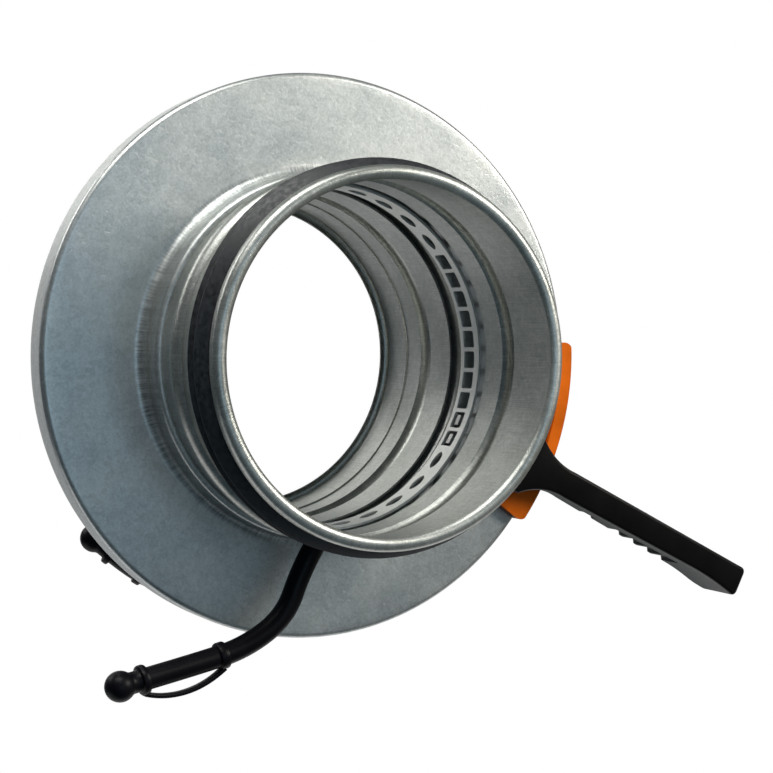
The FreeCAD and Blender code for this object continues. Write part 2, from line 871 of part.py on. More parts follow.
def hose(points):
    """Rubber tube along a path."""
    path, radii = hose_path(points)
    direction = (points[1] - points[0]).normalize()
    outer = Part.Wire(Part.makeCircle(hose_radius, points[0], direction))
    inner = Part.Wire(Part.makeCircle(hose_bore_radius, points[0], direction))
    tube = path.makePipeShell([outer], True, False).cut(path.makePipeShell([inner], True, False))
    area = pi * (hose_radius ** 2 - hose_bore_radius ** 2)
    print("hose length %.1f, least bend %.1f, volume ratio %.4f"
          % (path.Length, min(radii), tube.Volume / (area * path.Length)))
    return tube


def cap_body(end, direction):
    """Turned form of the plug cap: stem in the hose, collar, neck and ball with a small flat."""
    stem = hose_bore_radius - hose_clearance
    neck_end = cap_collar_length + cap_neck_length
    ball_place = neck_end + sqrt(cap_ball_radius ** 2 - cap_neck_radius ** 2)
    ball_end = ball_place + sqrt(cap_ball_radius ** 2 - cap_flat_radius ** 2)
    steps = [
        V(stem, 0, -cap_stem_length),
        V(stem, 0, 0),
        V(cap_collar_radius, 0, 0),
        V(cap_collar_radius, 0, cap_collar_length),
        V(cap_neck_radius, 0, cap_collar_length),
        V(cap_neck_radius, 0, neck_end),
        (V(cap_ball_radius, 0, ball_place), V(cap_flat_radius, 0, ball_end)),
        V(0, 0, ball_end),
        V(0, 0, -cap_stem_length),
    ]
    body = face_of(V(0, 0, -cap_stem_length), steps).revolve(ORIGIN, V(0, 0, 1), 360)
    body.Placement = FreeCAD.Placement(end, FreeCAD.Rotation(V(0, 0, 1), direction))
    return body


def cap(end, direction, ring_place, ring_direction, strap):
    """Plug cap for a hose end, with its strap and the ring that holds it to the hose."""
    start = ring_place - ring_direction * (strap_ring_length / 2)
    ring = cylinder(strap_ring_radius, strap_ring_length, start, ring_direction)
    ring = ring.cut(cylinder(hose_radius + hose_clearance, strap_ring_length, start, ring_direction))
    return cap_body(end, direction).fuse(ring).fuse(strap_piece(strap)).removeSplitter()


def strap_piece(points):
    """Flat strap that follows the arc through three points."""
    centre = arc(*points).Curve.Center
    normal = (points[1] - points[0]).cross(points[2] - points[0]).normalize()

    def beside(point, offset):
        return point + (point - centre).normalize() * offset - normal * (strap_width / 2)

    half = strap_thickness / 2
    steps = [
        (beside(points[1], half), beside(points[2], half)),
        beside(points[2], -half),
        (beside(points[1], -half), beside(points[0], -half)),
        beside(points[0], half),
    ]
    return face_of(beside(points[0], half), steps).extrude(normal * strap_width)


front_tap_y = front_neck_tip - tap_gap
rear_tap_y = tap_gap - rear_neck_tip
front_exit = along_tap(spigot_radius + tap_base_height, front_neck_tip) + spout_direction() * hose_seat
rear_exit = V(front_exit.x, rear_tap_y, front_exit.z)

# Route of the front hose, chosen by hand: down from the tap, then out to the left
FRONT_ROUTE = [
    front_exit,
    front_exit + spout_direction() * 10.5,
    V(-20.5, front_tap_y - 0.6, -70.7),
    V(-32.5, front_tap_y - 1.6, -79.3),
    V(-45.0, front_tap_y - 3.1, -83.2),
    V(-56.2, front_tap_y - 4.6, -84.1),
]
# Route of the rear hose: down from the tap, then along the lower left rim behind the casing
REAR_ROUTE = [
    rear_exit,
    rear_exit + spout_direction() * 10.5,
    V(-20.3, rear_tap_y + 2.6, -66.0),
    V(-30.0, rear_tap_y + 5.7, -67.3),
    V(-38.6, rear_tap_y + 8.2, -65.0),
    V(-44.8, rear_tap_y + 10.1, -61.1),
    V(-49.0, rear_tap_y + 11.1, -57.6),
]


def square_to(vector, direction):
    """The part of a vector that is square to a direction, as a unit vector."""
    return (vector - direction * vector.dot(direction)).normalize()


def hose_and_cap(route, ring_run, side, drop):
    """A hose and its cap; the ring grips one run of the route and the strap bows out to one side."""
    end = route[-1]
    direction = (route[-1] - route[-2]).normalize()
    ring_direction = (route[ring_run + 1] - route[ring_run]).normalize()
    ring_place = (route[ring_run + 1] + route[ring_run]) * 0.5
    seat = hose_radius + 2 * hose_clearance + strap_thickness / 2
    start = end + direction * (cap_collar_length / 2) + square_to(side, direction) * seat
    finish = ring_place + square_to(side, ring_direction) * seat
    chord = (finish - start).normalize()
    middle = (start + finish) * 0.5 + square_to(side, chord) * drop
    return hose(route), cap(end, direction, ring_place, ring_direction, [start, middle, finish])


def main():
    os.makedirs("parts", exist_ok=True)
    front = spigot(band_front - front_spigot_gap, front_neck_tip).cut(tap_hole(front_neck_tip))
    rear_end = -last_blade_rear - rear_spigot_gap
    rear = to_rear(spigot(rear_end, rear_neck_tip).cut(tap_hole(rear_neck_tip)))
    save("front_spigot", front)
    save("rear_spigot", rear)
    save("front_gasket", gasket())
    save("rear_gasket", to_rear(gasket()))
    save("front_casing", front_casing())
    save("rear_casing", rear_casing())
    save("pivot_pins", pivot_pins())
    save("control_ring", control_ring())
    save("drive_arm", drive_arm())
    save("arm_rivets", arm_rivets())
    save("handle", handle())
    save("handle_screw", handle_screw())
    save("scale_plate", scale_plate())
    for index in range(blade_count):
        save("blade_%d" % (index + 1), blade(index))
        save("drive_pin_%d" % (index + 1), drive_pin(index))
    save("front_tap", tap(front_neck_tip))
    save("rear_tap", to_rear(tap(rear_neck_tip)))
    front_hose, front_cap = hose_and_cap(FRONT_ROUTE, 2, V(0, 0, -1), 2.9)
    rear_hose, rear_cap = hose_and_cap(REAR_ROUTE, 4, V(0, 1, 0), 1.0)
    save("front_hose", front_hose)
    save("front_cap", front_cap)
    save("rear_hose", rear_hose)
    save("rear_cap", rear_cap)


main()
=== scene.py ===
"""Looks of the iris damper: turned sheet-metal pieces, moulded lever, hoses, materials and studio.

Lengths are millimetres until a mesh is made; the duct axis is Y, the front mouth faces -Y and Z is up.
Angles are degrees in the front view, from +X towards +Z.
"""
from math import atan2, cos, hypot, pi, radians, sin, sqrt

import bmesh
import bpy
from mathutils import Matrix, Vector


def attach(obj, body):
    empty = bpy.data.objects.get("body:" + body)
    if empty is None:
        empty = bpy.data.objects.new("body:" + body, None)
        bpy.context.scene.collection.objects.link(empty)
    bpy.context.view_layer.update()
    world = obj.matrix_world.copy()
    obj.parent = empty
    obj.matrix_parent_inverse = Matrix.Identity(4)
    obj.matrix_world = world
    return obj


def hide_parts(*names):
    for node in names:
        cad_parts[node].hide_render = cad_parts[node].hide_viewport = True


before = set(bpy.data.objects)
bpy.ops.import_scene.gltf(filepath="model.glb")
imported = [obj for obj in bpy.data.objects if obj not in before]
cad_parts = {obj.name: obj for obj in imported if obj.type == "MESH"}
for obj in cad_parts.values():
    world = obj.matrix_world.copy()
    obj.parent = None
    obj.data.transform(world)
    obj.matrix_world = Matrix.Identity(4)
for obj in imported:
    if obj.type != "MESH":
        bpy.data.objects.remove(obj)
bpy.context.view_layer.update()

MM = 0.001

# How far the middle of a quarter arc cuts into its square corner, as a share of the radius
corner_share = 1 - cos(radians(45))

# Body
half_length = 55.0
casing_radius = 79.7
casing_front = -3.8
casing_rear = 6.4
disc_sheet = 0.8
disc_gap = 0.1
rim_round = 1.6
hem_sheet = 0.6
hem_width = 1.9
hem_corner_share = 0.3
blade_count = 6

# Spigots
spigot_radius = 49.3
spigot_sheet = 0.6
front_spigot_length = 42.3
rear_spigot_length = 45.3
lip_radius = 46.1
lip_depth = 1.6
lip_middle_depth = 0.16
land_radius = 49.85
land_length = 2.0
seat_step = 0.4
seat_end = 16.0
seat_radius = spigot_radius - seat_step
bead_place = 29.0
bead_width = 6.3
bead_height = 2.0

# Necks
neck_radius = 51.3
neck_fillet = 3.0
neck_tip_place = 41.3
neck_turn = 1.4
neck_turn_bulge = 0.3
crinkle_start = 0.3
crinkle_width = 3.6
crinkle_height = 0.012
crinkle_count = 90

# Gaskets
gasket_base = 0.35
gasket_margin = 0.4
gasket_chamfer = 0.2
gasket_lips = 2
gasket_lip_reach = 3.0
gasket_lip_inset = 1.5
gasket_lip_lean = 2.4
gasket_lip_pitch = 4.6
gasket_lip_thickness = 0.5
gasket_lip_root = 0.25
# The lip's front bends here, as shares of its lean and reach
gasket_lip_bend = (0.44, 0.55)
# The lip's flat tip, from before to after its place
gasket_lip_tip = (-0.15, 0.1)

# Lever
lever_angle = -25.9
handle_start = 57.5
handle_end = 159.0
handle_step = 82.4
handle_front_root = -15.5
handle_front_tip = -10.0
handle_root_rear = -7.7
handle_rear_tip = 8.0
handle_root_half = 9.5
handle_root_round = 1.0
handle_neck_half = 4.2
handle_tip_half = 3.9
handle_tip_round = 2.0
handle_butt_half = 5.4
handle_butt_round = 8.0
handle_butt_length = 20.0
handle_corner_share = 0.29
# The flared root's curve: its start and end from the step, and its middle as (from the step, half-width)
flare_start = -12.0
flare_middle = (-6.23, 5.84)
flare_end = 3.6
handle_slices = 290
grip_round = 1.0
grip_round_share = 0.3
groove_places = (100.0, 113.5, 120.5, 127.5, 134.5)
groove_radius = 3.0
groove_depth = 1.75
groove_land = 6.0
groove_land_edge = 0.3
groove_land_lead = 1.0
groove_rear_margin = 0.6
groove_slope = 0.3
groove_least_step = 0.05
screw_place = 63.0
screw_sink_radius = 3.1
screw_seat = -13.5

# Hoses and their caps
hose_radius = 3.0
cap_ball_radius = 4.1
cap_ball_root = 0.25
cap_ball_pole = 0.997
cap_collar_radius = 4.0
cap_collar_length = 2.0
cap_neck_radius = 2.9
cap_neck_length = 2.5
# The fillet between neck and ball, as (before the neck's end, above the neck)
cap_neck_fillet = ((0.35, 0.0), (0.1, 0.08))
cap_overlap = 0.2
band_round = 0.5
band_round_cut = 0.15
strap_width = 2.4
strap_thickness = 1.2
strap_corner = 0.4
strap_flare = 0.25
strap_seat = 3.8
strap_sink = 0.3
strap_ring_radius = 3.7
strap_ring_length = 2.6
strap_ring_overlap = 0.1
front_strap_drop = 2.9
rear_strap_drop = 1.0
front_route = [
    (-6.9, -18.4, -51.5),
    (-10.9, -18.4, -58.2),
    (-15.6, -18.9, -70.6),
    (-27.5, -19.9, -78.2),
    (-41.5, -21.2, -81.4),
    (-56.2, -23.0, -84.1),
]
rear_route = [
    (-6.9, 18.4, -51.5),
    (-12.3, 18.4, -60.5),
    (-20.3, 21.0, -66.0),
    (-30.0, 24.1, -67.3),
    (-38.6, 26.6, -65.0),
    (-44.8, 28.5, -61.1),
    (-49.0, 29.5, -57.6),
]

# Fineness: segments around, points along an arc and longest straight side of a section
spigot_segments = 320
spigot_arc_points = 12
spigot_longest_side = 2.0
disc_segments = 720
disc_arc_points = 10
disc_longest_side = 1.5
small_segments = 48
ball_points = 24

# Angles above which an edge is drawn sharp
sheet_sharp = 30.0
cap_sharp = 35.0
handle_sharp = 50.0

# Surface patterns: noise scales per metre, depths in millimetres, shares of the overlaid tones
crystal_scale = 700.0
crystal_share = 0.16
crystal_depth = 0.01
grain_scale = 1500.0
grain_share = 0.3
grain_depth = 0.02
cloud_scale = 45.0
streak_share = 0.4
streak_depth = 0.05
patch_scale = 90.0
patch_spread = 0.18
# Spread of the gasket's streaked tone: partly dusty rubber, partly painted sheen
streak_dust_and_sheen_spread = 0.6
# Painted shade of the neck's crinkles: noise scales, share, middle radius and half-width of its band
crease_shade_scales = (95.0, 50.0, 0.0)
crease_shade_share = 0.75
crease_shade_middle = 52.6
crease_shade_half = 2.0

# Camera, solved from the outlines in the photograph
camera_place = (-201.4, -472.8, 4.2)
camera_forward = (0.4287, 0.9031, -0.0244)
camera_right = (0.9034, -0.4286, 0.0116)
camera_lens = 84.2
camera_sensor = 36.0

# Backdrop and room; the tones run from the room's left side to its right
floor_depth = 2500
floor_reach = 4000
floor_colour = (0.6, 0.62, 0.64)
backdrop_edge = (0.86, 1.0)
room_strength = 0.6
room_tones = [
    (0.0, (0.05, 0.07, 0.09)),
    (0.45, (0.12, 0.17, 0.20)),
    (0.75, (0.24, 0.27, 0.28)),
    (1.0, (0.3, 0.3, 0.28)),
]

# Name, place and size in metres, watts and colour of each softbox; all face the origin
softboxes = [
    ("side", (0.85, -0.74, 0.5), (0.5, 0.5), 11.2, (1.0, 0.97, 0.90)),
    ("top", (-0.35, -0.45, 1.05), (0.8, 0.5), 11.0, (1.0, 1.0, 0.96)),
    ("cool_front", (-0.1, -1.6, 0.05), (0.9, 0.5), 2.0, (0.55, 0.80, 1.0)),
    ("rear_top", (0.0, 1.2, 0.6), (0.7, 0.7), 1.3, (1.0, 1.0, 0.93)),
    ("rear_side", (-1.0, 0.9, 0.9), (0.7, 0.7), 7.0, (1.0, 0.99, 0.96)),
]


# Outlines

def polar(radius, angle, y=0.0):
    """Point at a radius and angle about the duct axis."""
    return Vector((radius * cos(radians(angle)), y, radius * sin(radians(angle))))


def from_mouth(distance):
    """Place along the duct at a distance behind the front mouth."""
    return distance - half_length


def swept(centre_x, centre_y, radius, first, last, fine):
    """Points on a circle's arc from the first to the last angle."""
    turns = [radians(first + (last - first) * k / fine) for k in range(fine + 1)]
    return [(centre_x + radius * cos(turn), centre_y + radius * sin(turn)) for turn in turns]


def through(start, middle, end, fine):
    """Points on the circle's arc from start through middle to end, without the start."""
    (ax, ay), (bx, by), (cx, cy) = start, middle, end
    d = 2 * (ax * (by - cy) + bx * (cy - ay) + cx * (ay - by))
    sa, sb, sc = ax * ax + ay * ay, bx * bx + by * by, cx * cx + cy * cy
    ux = (sa * (by - cy) + sb * (cy - ay) + sc * (ay - by)) / d
    uy = (sa * (cx - bx) + sb * (ax - cx) + sc * (bx - ax)) / d
    radius = hypot(ax - ux, ay - uy)
    first, half, last = (atan2(y - uy, x - ux) for x, y in (start, middle, end))
    turn = (last - first) % (2 * pi)
    if (half - first) % (2 * pi) > turn:
        turn -= 2 * pi
    turns = [first + turn * k / fine for k in range(1, fine + 1)]
    return [(ux + radius * cos(turn), uy + radius * sin(turn)) for turn in turns]


def outline(start, steps, fine):
    """Points of a closed path whose steps are end points or (middle, end) arcs."""
    points = [start]
    for step in steps:
        if isinstance(step[0], tuple):
            points += through(points[-1], step[0], step[1], fine)
        else:
            points.append(step)
    if hypot(points[0][0] - points[-1][0], points[0][1] - points[-1][1]) < 1e-6:
        points.pop()
    return points


def divided(points, longest):
    """The closed outline with its long straight sides divided, for shape and shading along them."""
    result = []
    for here, after in zip(points, points[1:] + points[:1]):
        run, rise = after[0] - here[0], after[1] - here[1]
        count = max(1, int(hypot(run, rise) / longest))
        result += [(here[0] + run * k / count, here[1] + rise * k / count) for k in range(count)]
    return result


def rounded(half_width, half_height, corner, fine):
    """Points of a rectangle with round corners about its middle."""
    points = []
    for x_side, y_side, first in ((1, 1, 0), (-1, 1, 90), (-1, -1, 180), (1, -1, 270)):
        points += swept(x_side * (half_width - corner), y_side * (half_height - corner), corner,
                        first, first + 90, fine)
    return points


# Meshes

def link(name, data):
    """A new object in the scene."""
    piece = bpy.data.objects.new(name, data)
    bpy.context.scene.collection.objects.link(piece)
    return piece


def mesh_piece(name, points, faces, sharp):
    """A mesh object from points in millimetres."""
    mesh = bpy.data.meshes.new(name)
    mesh.from_pydata([Vector(point) * MM for point in points], [], faces)
    build = bmesh.new()
    build.from_mesh(mesh)
    bmesh.ops.remove_doubles(build, verts=build.verts, dist=1e-7)
    bmesh.ops.recalc_face_normals(build, faces=build.faces)
    build.to_mesh(mesh)
    build.free()
    mesh.shade_smooth()
    mesh.set_sharp_from_angle(angle=radians(sharp))
    return link(name, mesh)


def turned(name, profile, segments, shift=None, mirror=False):
    """A closed (y, radius) outline turned about the duct axis; shift(y, radius, angle) moves its points."""
    points, faces = [], []
    count = len(profile)
    for k in range(segments):
        angle = 360.0 * k / segments
        for y, radius in profile:
            if shift:
                y, radius = shift(y, radius, angle)
            points.append(polar(radius, angle, -y if mirror else y))
    for k in range(segments):
        a, b = k * count, (k + 1) % segments * count
        for j in range(count):
            i = (j + 1) % count
            faces.append((a + j, a + i, b + i, b + j))
    return mesh_piece(name, points, faces, sheet_sharp)


def along(name, profile, base, direction):
    """An open (place, radius) profile turned about a line, closed at both ends."""
    axis = Vector(direction).normalized()
    side = axis.orthogonal().normalized()
    other = axis.cross(side)
    points, faces = [], []
    count = len(profile)
    for k in range(small_segments):
        turn = 2 * pi * k / small_segments
        ray = side * cos(turn) + other * sin(turn)
        points += [Vector(base) + axis * place + ray * radius for place, radius in profile]
    for k in range(small_segments):
        a, b = k * count, (k + 1) % small_segments * count
        faces += [(a + j, a + j + 1, b + j + 1, b + j) for j in range(count - 1)]
    faces.append([k * count for k in range(small_segments)])
    faces.append([k * count + count - 1 for k in reversed(range(small_segments))])
    return mesh_piece(name, points, faces, cap_sharp)


def lofted(name, sections, sharp):
    """A skin over closed sections that have the same number of points, closed at both ends."""
    points = [point for section in sections for point in section]
    count = len(sections[0])
    faces = []
    for k in range(len(sections) - 1):
        a, b = k * count, (k + 1) * count
        faces += [(a + j, a + (j + 1) % count, b + (j + 1) % count, b + j) for j in range(count)]
    faces.append(list(range(count)))
    faces.append([len(points) - 1 - j for j in range(count)])
    return mesh_piece(name, points, faces, sharp)


def drilled(piece, cutter):
    """The piece with the cutter's form taken out of it; the cutter is used up."""
    cut = piece.modifiers.new("cut", "BOOLEAN")
    cut.operation = "DIFFERENCE"
    cut.object = cutter
    bpy.context.view_layer.update()
    whole = bpy.data.meshes.new_from_object(piece.evaluated_get(bpy.context.evaluated_depsgraph_get()))
    piece.modifiers.remove(cut)
    old = piece.data
    whole.name = old.name
    piece.data = whole
    bpy.data.meshes.remove(old)
    spent = cutter.data
    bpy.data.objects.remove(cutter)
    bpy.data.meshes.remove(spent)
    whole.set_sharp_from_angle(angle=radians(handle_sharp))
    return piece


def joined(name, pieces):
    """Several mesh objects made one."""
    build = bmesh.new()
    for piece in pieces:
        build.from_mesh(piece.data)
        old = piece.data
        bpy.data.objects.remove(piece)
        bpy.data.meshes.remove(old)
    mesh = bpy.data.meshes.new(name)
    build.to_mesh(mesh)
    build.free()
    mesh.shade_smooth()
    mesh.set_sharp_from_angle(angle=radians(cap_sharp))
    return link(name, mesh)


# Shader nodes

def material(name):
    """A new material with its nodes, links and surface shader."""
    made = bpy.data.materials.new(name)
    made.use_nodes = True
    nodes = made.node_tree.nodes
    return made, nodes, made.node_tree.links, nodes["Principled BSDF"]


def feed(links, socket, value):
    """Set a socket to a number, or link another socket to it."""
    if isinstance(value, (int, float)):
        socket.default_value = value
    else:
        links.new(value, socket)


def math_node(nodes, links, operation, *values):
    """Result of one sum on numbers or sockets."""
    node = nodes.new("ShaderNodeMath")
    node.operation = operation
    for socket, value in zip(node.inputs, values):
        feed(links, socket, value)
    return node.outputs[0]


def place_socket(nodes):
    """Coordinates in the object's own frame, in metres."""
    return nodes.new("ShaderNodeTexCoord").outputs["Object"]


def parted(nodes, links, vector):
    """X, Y and Z of a vector."""
    node = nodes.new("ShaderNodeSeparateXYZ")
    links.new(vector, node.inputs[0])
    return tuple(node.outputs)


def turned_place(nodes, links):
    """Angle, radius and length of a place on a turned piece."""
    x, y, z = parted(nodes, links, place_socket(nodes))
    x_square = math_node(nodes, links, "MULTIPLY", x, x)
    z_square = math_node(nodes, links, "MULTIPLY", z, z)
    radius = math_node(nodes, links, "SQRT", math_node(nodes, links, "ADD", x_square, z_square))
    return math_node(nodes, links, "ARCTAN2", z, x), radius, y


def round_place(nodes, links, scales):
    """Coordinates of a turned piece: angle, radius and length, each times a scale."""
    join = nodes.new("ShaderNodeCombineXYZ")
    for socket, value, scale in zip(join.inputs, turned_place(nodes, links), scales):
        links.new(math_node(nodes, links, "MULTIPLY", value, scale), socket)
    return join.outputs[0]


def noise(nodes, links, place, scale, detail=3.0, rough=0.55):
    """Soft noise between 0 and 1."""
    node = nodes.new("ShaderNodeTexNoise")
    node.inputs["Scale"].default_value = scale
    node.inputs["Detail"].default_value = detail
    node.inputs["Roughness"].default_value = rough
    links.new(place, node.inputs["Vector"])
    return node.outputs["Fac"]


def ramp(nodes, links, value, stops):
    """Colour ramp from (place, colour) pairs."""
    node = nodes.new("ShaderNodeValToRGB")
    elements = node.color_ramp.elements
    while len(elements) < len(stops):
        elements.new(0.5)
    for element, (place, colour) in zip(elements, stops):
        element.position = place
        element.color = (*colour, 1.0)
    links.new(value, node.inputs[0])
    return node.outputs[0]


def grey_ramp(nodes, links, value, low, high, start=0.3, end=0.7):
    """Ramp between two greys."""
    return ramp(nodes, links, value, [(start, (low,) * 3), (end, (high,) * 3)])


def mixed(nodes, links, kind, share, first, second):
    """Two colours blended."""
    node = nodes.new("ShaderNodeMix")
    node.data_type = "RGBA"
    node.blend_type = kind
    feed(links, node.inputs["Factor"], share)
    links.new(first, node.inputs["A"])
    links.new(second, node.inputs["B"])
    return node.outputs["Result"]


def bump(nodes, links, shader, layers):
    """Bump from (height socket, depth in millimetres) layers."""
    last = None
    for height, depth in layers:
        node = nodes.new("ShaderNodeBump")
        node.inputs["Strength"].default_value = 1.0
        node.inputs["Distance"].default_value = depth * MM
        links.new(height, node.inputs["Height"])
        if last:
            links.new(last, node.inputs["Normal"])
        last = node.outputs["Normal"]
    links.new(last, shader.inputs["Normal"])


# Materials

def painted_crease_shade(nodes, links, colour):
    """The colour with painted shade: short dark radial lines in a ring-shaped band on the neck's fillet,
    where its crinkles fall into shade.
    """
    lines = noise(nodes, links, round_place(nodes, links, crease_shade_scales), 1.0, 3.0, 0.65)
    shade = grey_ramp(nodes, links, lines, 0.4, 1.0, 0.40, 0.56)
    radius = turned_place(nodes, links)[1]
    off = math_node(nodes, links, "ABSOLUTE", math_node(nodes, links, "SUBTRACT", radius, crease_shade_middle * MM))
    fade = math_node(nodes, links, "SUBTRACT", 1.0, math_node(nodes, links, "DIVIDE", off, crease_shade_half * MM))
    share = math_node(nodes, links, "MULTIPLY", math_node(nodes, links, "MAXIMUM", fade, 0.0), crease_shade_share)
    return mixed(nodes, links, "MULTIPLY", share, colour, shade)


def zinc(name, dark, light, metallic, rough, streak=None, crease_shade=False):
    """Galvanised sheet: mottled crystals, cloudy patches and, on rolled pieces, fine lengthwise streaks."""
    made, nodes, links, shader = material(name)
    place = place_socket(nodes)
    crystals = nodes.new("ShaderNodeTexVoronoi")
    crystals.inputs["Scale"].default_value = crystal_scale
    links.new(place, crystals.inputs["Vector"])
    tone = nodes.new("ShaderNodeSeparateColor")
    links.new(crystals.outputs["Color"], tone.inputs[0])
    mottle = grey_ramp(nodes, links, tone.outputs[0], 0.25, 0.75, 0.0, 1.0)
    fine = noise(nodes, links, place, grain_scale, 2.0)
    cloud = noise(nodes, links, place, cloud_scale, 4.0)
    colour = ramp(nodes, links, cloud, [(0.35, dark), (0.7, light)])
    colour = mixed(nodes, links, "OVERLAY", crystal_share, colour, mottle)
    colour = mixed(nodes, links, "OVERLAY", grain_share, colour, grey_ramp(nodes, links, fine, 0.3, 0.7))
    height, depth = fine, grain_depth
    if streak:
        lines = noise(nodes, links, round_place(nodes, links, streak), 1.0, 4.0, 0.6)
        shade = grey_ramp(nodes, links, lines, 0.3, 0.7)
        colour = mixed(nodes, links, "OVERLAY", streak_share, colour, shade)
        height, depth = lines, streak_depth
    # Painted shade: dark radial lines on the neck's fillet, where its crinkles fall into shade
    if crease_shade:
        colour = painted_crease_shade(nodes, links, colour)
    links.new(colour, shader.inputs["Base Color"])
    shader.inputs["Metallic"].default_value = metallic
    links.new(grey_ramp(nodes, links, cloud, *rough), shader.inputs["Roughness"])
    bump(nodes, links, shader, [(height, depth), (tone.outputs[0], crystal_depth)])
    return made


def polymer(name, colour, rough, grain, depth, specular=0.5, streak=None):
    """Moulded plastic or rubber with a fine grain and slightly uneven gloss, in streaks on a turned piece,
    where the tone also runs in strong streaks: partly dusty rubber, partly painted sheen.
    """
    made, nodes, links, shader = material(name)
    place = place_socket(nodes)
    fine = noise(nodes, links, place, grain, 3.0)
    if streak:
        # Streaks round a turned piece: partly dusty rubber, partly painted sheen
        patch = noise(nodes, links, round_place(nodes, links, streak), 1.0, 3.0)
        spread = streak_dust_and_sheen_spread
    else:
        patch = noise(nodes, links, place, patch_scale, 3.0)
        spread = patch_spread
    low = tuple(channel * (1 - spread) for channel in colour)
    high = tuple(min(1.0, channel * (1 + spread)) for channel in colour)
    links.new(ramp(nodes, links, patch, [(0.3, low), (0.7, high)]), shader.inputs["Base Color"])
    links.new(grey_ramp(nodes, links, patch, *rough), shader.inputs["Roughness"])
    shader.inputs["Specular IOR Level"].default_value = specular
    bump(nodes, links, shader, [(fine, depth)])
    return made


def dress(piece, made):
    """Give a piece its material."""
    piece.data.materials.clear()
    piece.data.materials.append(made)


def stand_for(piece, body, made, slot, *nodes):
    """A finished piece that takes the place of plain nodes and rides on their body."""
    dress(piece, made)
    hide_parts(*nodes)
    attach(piece, body)
    return piece


# The discs' zinc carries the painted crease shade on their necks' fillets
disc_zinc = zinc("disc_zinc", (0.46, 0.48, 0.48), (0.58, 0.59, 0.57), 0.88, (0.36, 0.43), crease_shade=True)
# Partly painted shade: the spigots' own greenish grey, made darker than the discs' zinc to stand in for the
# shade inside the duct
shaded_spigot_zinc = zinc("shaded_spigot_zinc", (0.36, 0.37, 0.345), (0.50, 0.51, 0.485), 0.85, (0.32, 0.42),
                   streak=(160.0, 40.0, 60.0))
# Painted light: a much lighter copy of the galvanised zinc, standing in for the light that falls on the band
# inside the duct
lit_ring_zinc = zinc("lit_ring_zinc", (0.76, 0.76, 0.73), (0.88, 0.88, 0.85), 0.6, (0.38, 0.48),
                 streak=(120.0, 40.0, 200.0))
blade_steel = zinc("blade_steel", (0.45, 0.46, 0.46), (0.58, 0.58, 0.57), 0.95, (0.25, 0.33),
                   streak=(60.0, 900.0, 60.0))
rivet_steel = zinc("rivet_steel", (0.42, 0.42, 0.41), (0.58, 0.57, 0.55), 0.95, (0.25, 0.35))
gasket_rubber = polymer("gasket_rubber", (0.014, 0.016, 0.019), (0.36, 0.6), 1800.0, 0.02,
                        streak=(35.0, 900.0, 900.0))
hose_rubber = polymer("hose_rubber", (0.003, 0.0027, 0.0045), (0.34, 0.44), 900.0, 0.01, specular=0.12)
lever_plastic = polymer("lever_plastic", (0.0026, 0.0021, 0.0022), (0.28, 0.37), 1600.0, 0.012, specular=0.14)
tap_plastic = polymer("tap_plastic", (0.012, 0.012, 0.013), (0.35, 0.45), 1200.0, 0.01)
orange_plastic = polymer("orange_plastic", (0.72, 0.13, 0.0), (0.34, 0.44), 1500.0, 0.012, specular=0.15)

finishes = {
    "control_ring": lit_ring_zinc,
    "drive_arm": rivet_steel,
    "arm_rivets": rivet_steel,
    "pivot_pins": rivet_steel,
    "handle_screw": rivet_steel,
    "scale_plate": orange_plastic,
    "front_tap": tap_plastic,
    "rear_tap": tap_plastic,
}
for index in range(1, blade_count + 1):
    finishes["blade_%d" % index] = blade_steel
    finishes["drive_pin_%d" % index] = rivet_steel
for node, made in finishes.items():
    dress(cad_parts[node], made)


# Spigots and gaskets

def spigot_outline(length):
    """Section of a rolled spigot: rolled-in lip, land, gasket seat, stop bead and plain inner end."""
    sheet = spigot_sheet
    inset = sheet / 2
    bore = spigot_radius - sheet
    lip_end = from_mouth(lip_depth)
    lip_front = from_mouth(lip_middle_depth)
    lip_middle = (lip_radius + land_radius) / 2
    land_end = from_mouth(lip_depth + land_length)
    seat_rear = from_mouth(seat_end)
    bead_start = from_mouth(bead_place - bead_width / 2)
    bead_middle = from_mouth(bead_place)
    bead_end = from_mouth(bead_place + bead_width / 2)
    bead_top = spigot_radius + bead_height
    rear = from_mouth(length)
    steps = [
        ((lip_front, lip_middle), (lip_end, land_radius)),
        (land_end, land_radius),
        (land_end + seat_step, seat_radius),
        (seat_rear, seat_radius),
        (seat_rear + seat_step, spigot_radius),
        (bead_start, spigot_radius),
        ((bead_middle, bead_top), (bead_end, spigot_radius)),
        (rear, spigot_radius),
        (rear, bore),
        (bead_end + inset, bore),
        ((bead_middle, bead_top - sheet), (bead_start - inset, bore)),
        (seat_rear + seat_step, bore),
        (seat_rear, seat_radius - sheet),
        (land_end, seat_radius - sheet),
        (land_end - sheet, land_radius - sheet),
        (lip_end + inset, land_radius - sheet),
        ((lip_front + sheet, lip_middle), (lip_end, lip_radius + inset)),
    ]
    return divided(outline((lip_end - inset, lip_radius), steps, spigot_arc_points), spigot_longest_side)


